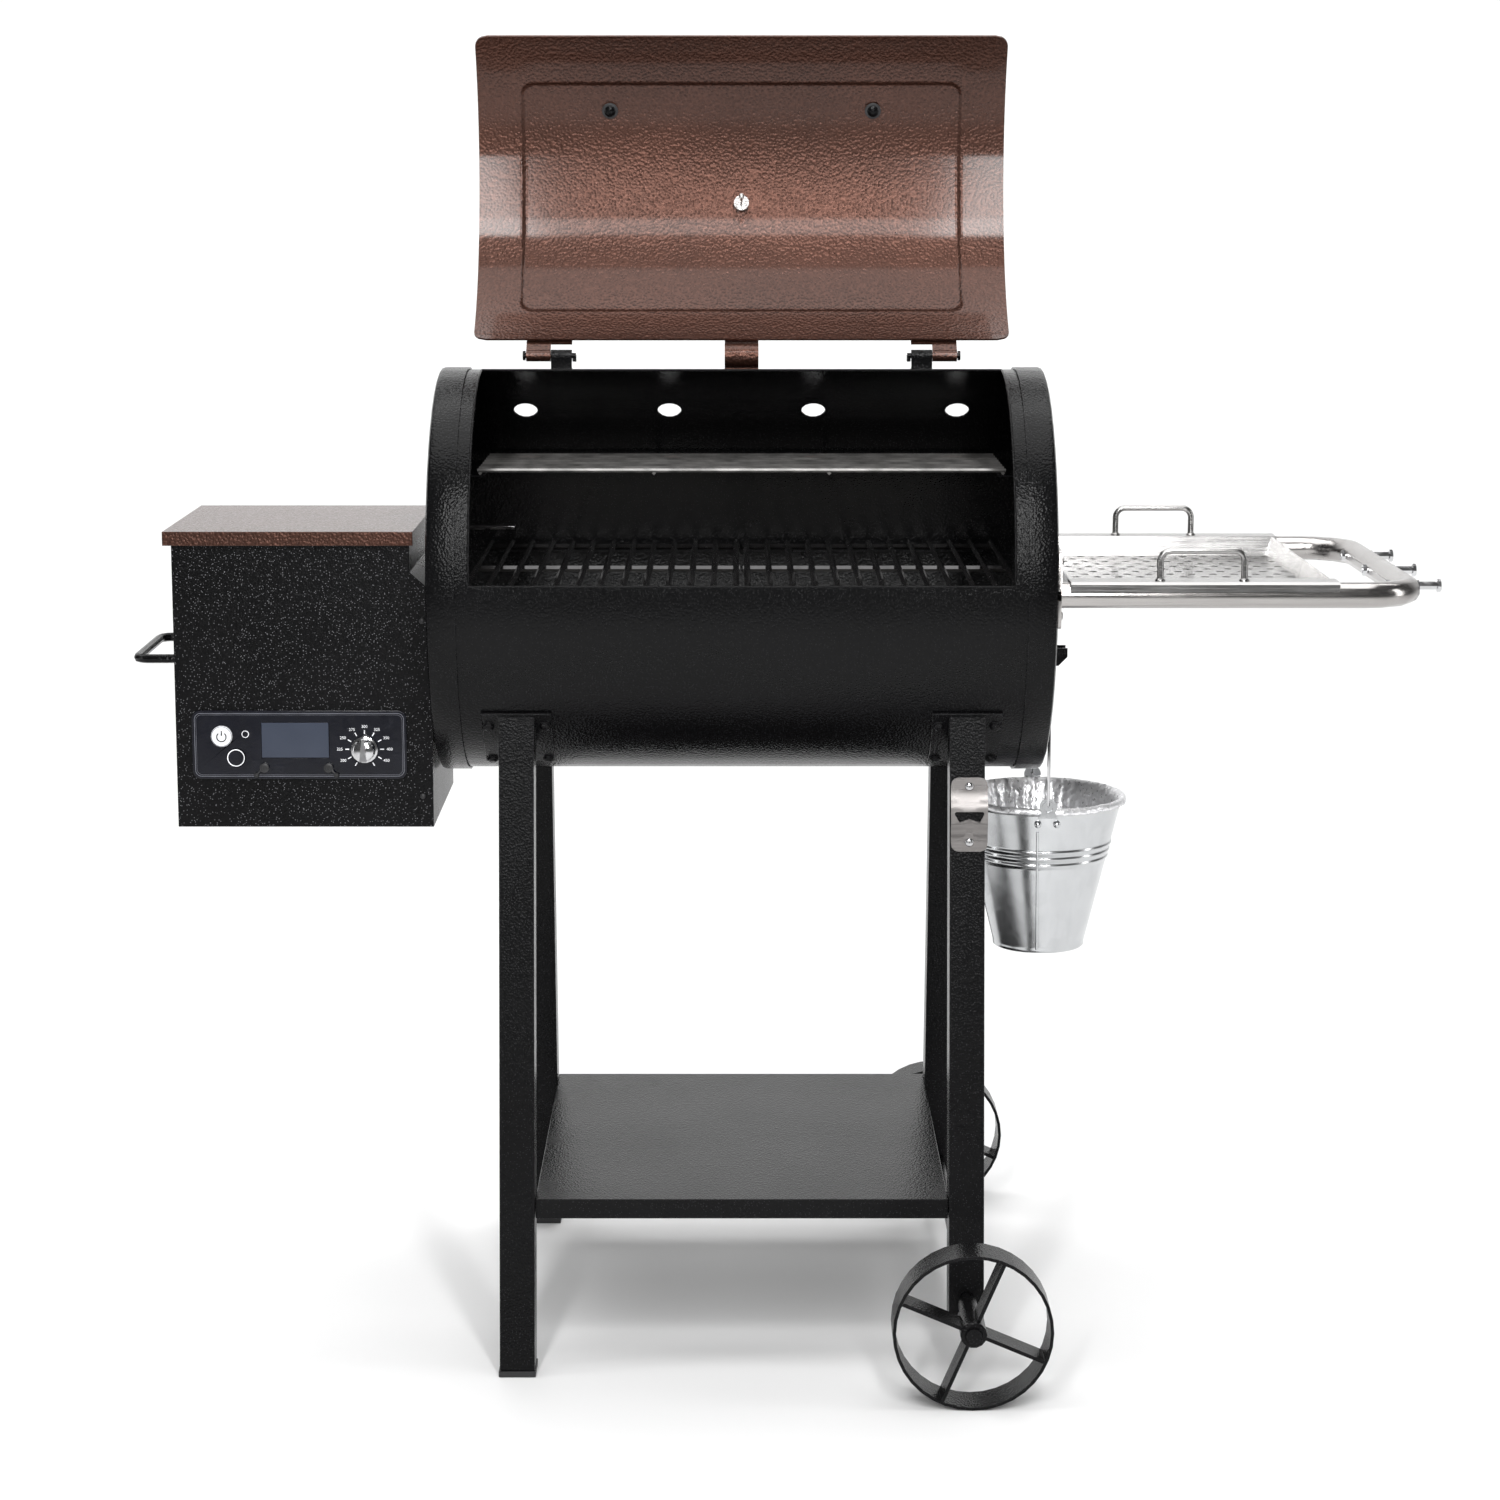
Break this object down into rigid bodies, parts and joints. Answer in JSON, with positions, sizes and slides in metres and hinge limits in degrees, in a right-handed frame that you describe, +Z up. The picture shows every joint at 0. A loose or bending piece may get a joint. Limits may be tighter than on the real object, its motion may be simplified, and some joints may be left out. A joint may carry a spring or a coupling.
{
  "type": "pellet smoker grill",
  "caption": "Barrel pellet smoker grill on a wheeled stand with an open lid, wood-pellet hopper with a control panel, side tray and hanging grease bucket.",
  "frame": {"origin": "middle of the outer box on the ground", "axes": "+X towards the side tray, +Y towards the back (the front faces -Y), +Z up"},
  "size_m": [1.284, 0.6792, 1.2911],
  "materials": {
    "black_paint": "textured powder coat, semi-gloss",
    "black_plastic": "satin",
    "bright_steel": "polished",
    "bronze_paint": "hammered bronze enamel, glossy",
    "clear_glass": "clear",
    "display_grey": "gloss",
    "enamel": "glossy enamel",
    "foil": "crinkled foil, bright",
    "galvanised": "spangled zinc coat, satin",
    "panel_blue": "gloss",
    "raw_steel": "bare, satin",
    "red_paint": "satin",
    "stainless": "brushed",
    "white_plastic": "gloss"
  },
  "bodies": {
    "grill": {"auger_motor": "black_plastic", "auger_tube": "raw_steel", "barrel_shell": "black_paint", "bottle_opener": "stainless", "bottom_shelf": "black_paint", "burn_pot": "raw_steel", "control_panel": "panel_blue", "cord_gland": "black_plastic", "display_window": "display_grey", "end_cap_left": "black_paint", "end_cap_right": "black_paint", "fan_housing": "black_plastic", "flame_plate": "raw_steel", "foot_cap_front": "black_plastic", "foot_cap_rear": "black_plastic", "grate_left": "enamel", "grate_right": "enamel", "grease_spout": "black_paint", "hinge_leaf_left": "black_paint", "hinge_leaf_right": "black_paint", "hopper_bin": "raw_steel", "hopper_body": "black_paint", "hopper_grille": "bright_steel", "hopper_handle": "black_paint", "igniter_rod": "bright_steel", "leg_front_left": "black_paint", "leg_front_right": "black_paint", "leg_rear_left": "black_paint", "leg_rear_right": "black_paint", "shelf_frame": "stainless", "temperature_probe": "bright_steel", "tool_peg_front": "bright_steel", "tool_peg_middle": "bright_steel", "tool_peg_rear": "bright_steel", "upper_rack": "bright_steel", "wheel_axle": "raw_steel"},
    "lid": {"main_lid": "bronze_paint", "lid_handle": "bright_steel", "thermometer_case": "stainless", "thermometer_glass": "clear_glass", "lid_stop_tab": "bronze_paint", "hinge_tab_left": "bronze_paint", "hinge_tab_right": "bronze_paint"},
    "needle": {"thermometer_needle": "red_paint"},
    "flame_slider": {"flame_slider": "raw_steel"},
    "auger_screw": {"auger_screw": "raw_steel"},
    "fan_impeller": {"fan_impeller": "raw_steel"},
    "hopper_lid": {"hopper_lid": "bronze_paint"},
    "power_button": {"power_button": "white_plastic"},
    "prime_button": {"prime_button": "panel_blue"},
    "control_dial": {"control_dial": "bright_steel"},
    "wheel_front": {"wheel_front": "black_paint"},
    "wheel_rear": {"wheel_rear": "black_paint"},
    "serving_tray": {"serving_tray": "stainless"},
    "bucket_bail": {"bucket_bail": "bright_steel"},
    "bucket": {"grease_bucket": "galvanised", "foil_liner": "foil"}
  },
  "joints": [
    {"name": "lid_hinge", "type": "hinge", "parent": "grill", "child": "lid", "pos_m": [-0.038, 0.0339, 0.9716], "axis": [1, 0, 0], "range_deg": [0, 145]},
    {"name": "needle_turn", "type": "hinge", "parent": "lid", "child": "needle", "pos_m": [-0.038, 0.1454, 1.1197], "axis": [0, 0.9767, -0.2147], "range_deg": [0, 270], "stiffness_Nm_per_rad": 0.002},
    {"name": "flame_slide", "type": "slide", "parent": "grill", "child": "flame_slider", "axis": [0.9995, 0, -0.0313], "range_m": [0, 0.14]},
    {"name": "auger_turn", "type": "hinge", "parent": "grill", "child": "auger_screw", "pos_m": [-0.313, 0, 0.605], "axis": [1, 0, 0], "continuous": true},
    {"name": "fan_turn", "type": "hinge", "parent": "grill", "child": "fan_impeller", "pos_m": [-0.438, 0.066, 0.595], "axis": [0, 0, 1], "continuous": true},
    {"name": "hopper_lid_hinge", "type": "hinge", "parent": "grill", "child": "hopper_lid", "pos_m": [-0.479, 0.1225, 0.8005], "axis": [-1, 0, 0], "range_deg": [0, 100]},
    {"name": "power_press", "type": "slide", "parent": "grill", "child": "power_button", "axis": [0, 1, 0], "range_m": [0, 0.0015], "stiffness_N_per_m": 400},
    {"name": "prime_press", "type": "slide", "parent": "grill", "child": "prime_button", "axis": [0, 1, 0], "range_m": [0, 0.0015], "stiffness_N_per_m": 400},
    {"name": "dial_turn", "type": "hinge", "parent": "grill", "child": "control_dial", "pos_m": [-0.4079, -0.12, 0.5959], "axis": [0, -1, 0], "range_deg": [-150, 150]},
    {"name": "wheel_front_roll", "type": "hinge", "parent": "grill", "child": "wheel_front", "pos_m": [0.18, -0.31, 0.0761], "axis": [0, 1, 0], "continuous": true},
    {"name": "wheel_rear_roll", "type": "hinge", "parent": "grill", "child": "wheel_rear", "pos_m": [0.18, 0.31, 0.0761], "axis": [0, 1, 0], "continuous": true},
    {"name": "tray_lift", "type": "slide", "parent": "grill", "child": "serving_tray", "axis": [0, 0, 1], "range_m": [0, 0.12]},
    {"name": "bail_swing", "type": "hinge", "parent": "grill", "child": "bucket_bail", "pos_m": [0.2665, 0, 0.6832], "axis": [0, -1, 0], "range_deg": [0, 25]},
    {"name": "bucket_swing", "type": "hinge", "parent": "bucket_bail", "child": "bucket", "pos_m": [0.2665, 0, 0.532], "axis": [0, 1, 0], "range_deg": [-15, 8]}
  ]
}
